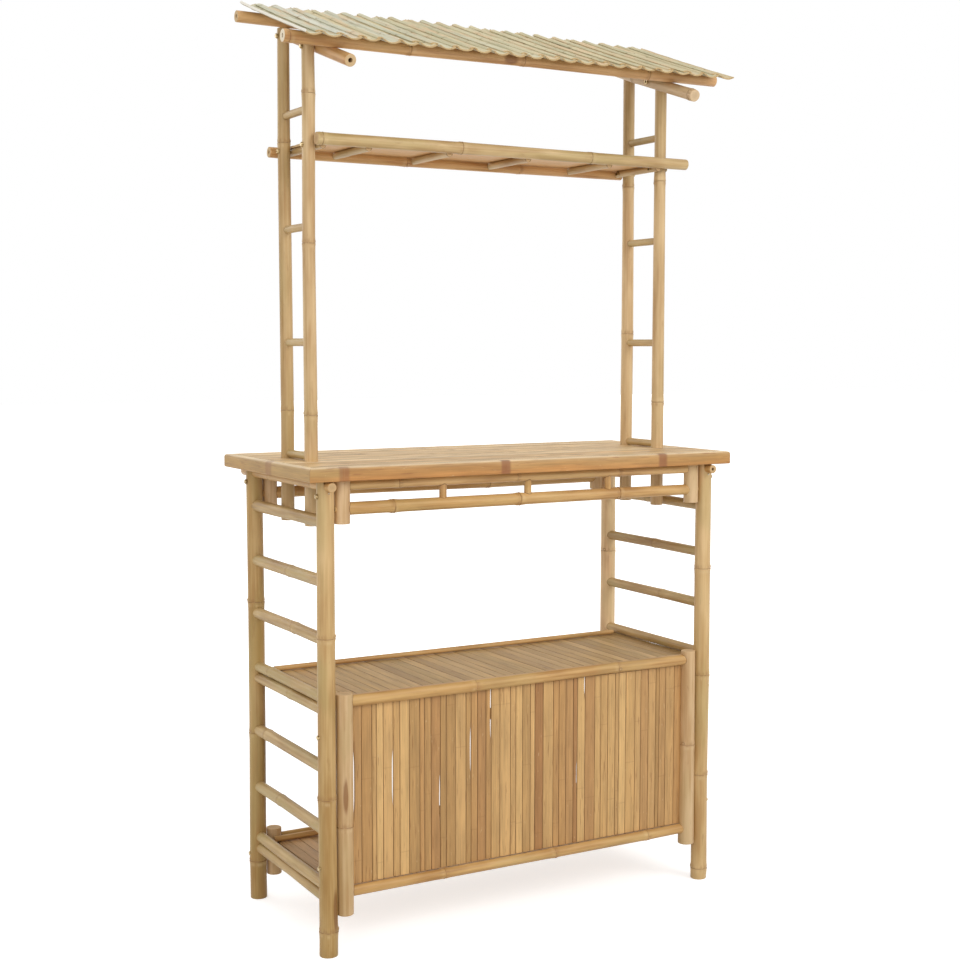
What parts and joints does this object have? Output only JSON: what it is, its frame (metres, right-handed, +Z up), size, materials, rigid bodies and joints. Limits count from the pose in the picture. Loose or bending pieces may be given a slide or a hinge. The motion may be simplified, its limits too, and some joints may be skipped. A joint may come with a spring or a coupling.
{
  "type": "bamboo bar counter with roof",
  "caption": "Free-standing bamboo bar: slatted cabinet and ladder sides under a boarded counter, with a narrow shelf and a sloping roof of split culms on four uprights.",
  "frame": {"origin": "on the floor under the middle of the counter top", "axes": "+X to the right along the front as a guest faces it, +Y towards the back, +Z up"},
  "size_m": [1.111, 0.4998, 2.0783],
  "materials": {
    "leg_culm": "satin, unpainted bamboo skin",
    "rung_culm": "satin, unpainted bamboo skin, slightly olive",
    "rail_culm": "satin, unpainted bamboo skin",
    "post_culm": "satin, unpainted bamboo skin",
    "upright_culm": "satin, unpainted bamboo skin",
    "hidden_culm": "dull, unpainted bamboo",
    "roof_culm": "satin, warm orange bamboo skin",
    "shelf_culm": "satin, unpainted bamboo skin",
    "roof_tile": "matt, weathered pale bamboo halves",
    "counter_board": "satin, pale sealed bamboo boards",
    "counter_trim": "satin, honey bamboo with brown nodes",
    "panel_slat": "satin, split bamboo, mixed tones",
    "shelf_slat": "matt, split bamboo",
    "bolt": "yellow zinc plated",
    "nut": "zinc plated",
    "pin": "bare"
  },
  "bodies": {
    "root": {"apron_lower_rail_front": "rail_culm", "apron_lower_rail_rear": "rail_culm", "apron_post_front_left": "post_culm", "apron_post_front_right": "post_culm", "apron_post_rear_left": "post_culm", "apron_post_rear_right": "post_culm", "apron_spacers_front": "rail_culm", "apron_spacers_rear": "rail_culm", "apron_top_rail_front": "rail_culm", "apron_top_rail_rear": "rail_culm", "bottom_far_rail": "rail_culm", "bottom_near_rail": "rail_culm", "bottom_rear_posts": "post_culm", "bottom_shelf_bearers": "hidden_culm", "bottom_shelf_slats": "shelf_slat", "cabinet_post_left": "post_culm", "cabinet_post_right": "post_culm", "cabinet_top_bearers": "hidden_culm", "cabinet_top_rear_pole": "rail_culm", "cabinet_top_slats": "shelf_slat", "cabinet_top_strip": "shelf_slat", "counter_bearer_left": "hidden_culm", "counter_bearer_right": "hidden_culm", "counter_boards": "counter_board", "counter_cross_bearers": "hidden_culm", "counter_trim_front": "counter_trim", "counter_trim_left": "counter_trim", "counter_trim_rear": "counter_trim", "counter_trim_right": "counter_trim", "frame_bolts": "bolt", "ladder_rungs_left": "rung_culm", "ladder_rungs_right": "rung_culm", "ladder_top_rail_left": "rail_culm", "ladder_top_rail_right": "rail_culm", "leg_front_left": "leg_culm", "leg_front_right": "leg_culm", "leg_rear_left": "leg_culm", "leg_rear_right": "leg_culm", "panel_battens": "panel_slat", "panel_bottom_pole": "rail_culm", "panel_slats": "panel_slat", "panel_top_pole": "rail_culm", "purlin_front": "roof_culm", "purlin_rear": "roof_culm", "rafter_left": "roof_culm", "rafter_right": "roof_culm", "rail_pins": "pin", "roof_cap_tiles": "roof_tile", "roof_pan_tiles": "roof_tile", "shelf_battens": "shelf_culm", "shelf_front_pole": "shelf_culm", "shelf_rear_pole": "shelf_culm", "shelf_slats": "shelf_slat", "upper_rungs_left": "rung_culm", "upper_rungs_right": "rung_culm", "upright_front_left": "upright_culm", "upright_front_right": "upright_culm", "upright_nuts": "nut", "upright_rear_left": "upright_culm", "upright_rear_right": "upright_culm"}
  },
  "joints": []
}
